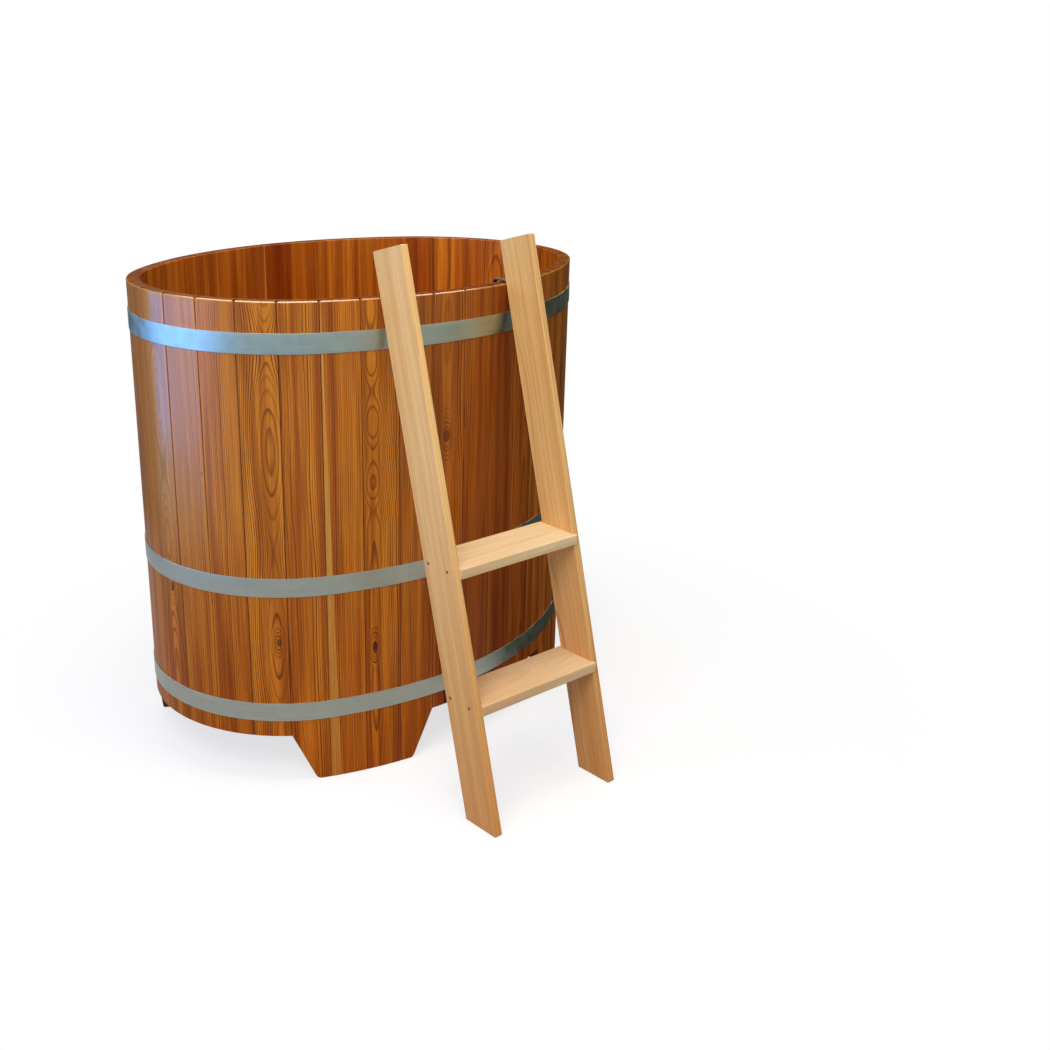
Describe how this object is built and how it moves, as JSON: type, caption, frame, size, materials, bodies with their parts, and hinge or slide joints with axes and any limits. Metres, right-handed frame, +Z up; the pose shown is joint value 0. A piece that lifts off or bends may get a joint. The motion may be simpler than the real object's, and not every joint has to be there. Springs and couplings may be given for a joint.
{
  "type": "wooden plunge tub",
  "caption": "Oval wooden plunge tub of upright staves in riveted steel hoops, on feet cut from the staves, with a boarded floor, a drain with a stopper and a ladder hooked on the rim.",
  "frame": {"origin": "on the ground, under the middle of the object's bounding box, ladder included; the tub's own upright axis stands 178.4 mm towards +Y from it", "axes": "+X along the oval's long axis, +Y across the tub away from the ladder, +Z up"},
  "size_m": [1.115, 1.1299, 1.1066],
  "materials": {
    "stave_larch": "oiled, semi-gloss",
    "floor_larch": "oiled, satin",
    "batten_larch": "plain planed",
    "ladder_spruce": "planed, satin",
    "hoop_steel": "galvanised strip, dull",
    "rivet_steel": "bright steel",
    "hook_steel": "galvanised strip, dull",
    "screw_steel": "dull steel",
    "drain_steel": "turned stainless steel",
    "gasket_rubber": "matte",
    "plug_rubber": "satin"
  },
  "bodies": {
    "tub": {"stave_01": "stave_larch", "stave_02": "stave_larch", "stave_03": "stave_larch", "stave_04": "stave_larch", "stave_05": "stave_larch", "stave_06": "stave_larch", "stave_07": "stave_larch", "stave_08": "stave_larch", "stave_09": "stave_larch", "stave_10": "stave_larch", "stave_11": "stave_larch", "stave_12": "stave_larch", "stave_13": "stave_larch", "stave_14": "stave_larch", "stave_15": "stave_larch", "stave_16": "stave_larch", "stave_17": "stave_larch", "stave_18": "stave_larch", "stave_19": "stave_larch", "stave_20": "stave_larch", "stave_21": "stave_larch", "stave_22": "stave_larch", "stave_23": "stave_larch", "stave_24": "stave_larch", "stave_25": "stave_larch", "stave_26": "stave_larch", "stave_27": "stave_larch", "stave_28": "stave_larch", "stave_29": "stave_larch", "stave_30": "stave_larch", "stave_31": "stave_larch", "stave_32": "stave_larch", "stave_33": "stave_larch", "stave_34": "stave_larch", "stave_35": "stave_larch", "stave_36": "stave_larch", "stave_37": "stave_larch", "stave_38": "stave_larch", "hoop_top": "hoop_steel", "hoop_middle": "hoop_steel", "hoop_bottom": "hoop_steel", "hoop_rivets": "rivet_steel", "floor_board_1": "floor_larch", "floor_board_2": "floor_larch", "floor_board_3": "floor_larch", "floor_board_4": "floor_larch", "floor_board_5": "floor_larch", "batten_left": "batten_larch", "batten_right": "batten_larch", "batten_screws": "screw_steel", "drain_flange": "drain_steel", "drain_gasket": "gasket_rubber", "drain_locknut": "drain_steel"},
    "ladder": {"stringer_left": "ladder_spruce", "stringer_right": "ladder_spruce", "tread_lower": "ladder_spruce", "tread_upper": "ladder_spruce", "rim_hook": "hook_steel", "ladder_screws": "screw_steel"},
    "plug": {"drain_plug": "plug_rubber"}
  },
  "joints": [
    {"name": "ladder_lift", "type": "slide", "parent": "tub", "child": "ladder", "axis": [0, 0, 1], "range_m": [0, 0.15]},
    {"name": "plug_lift", "type": "slide", "parent": "tub", "child": "plug", "axis": [0, 0, 1], "range_m": [0, 0.1]}
  ]
}
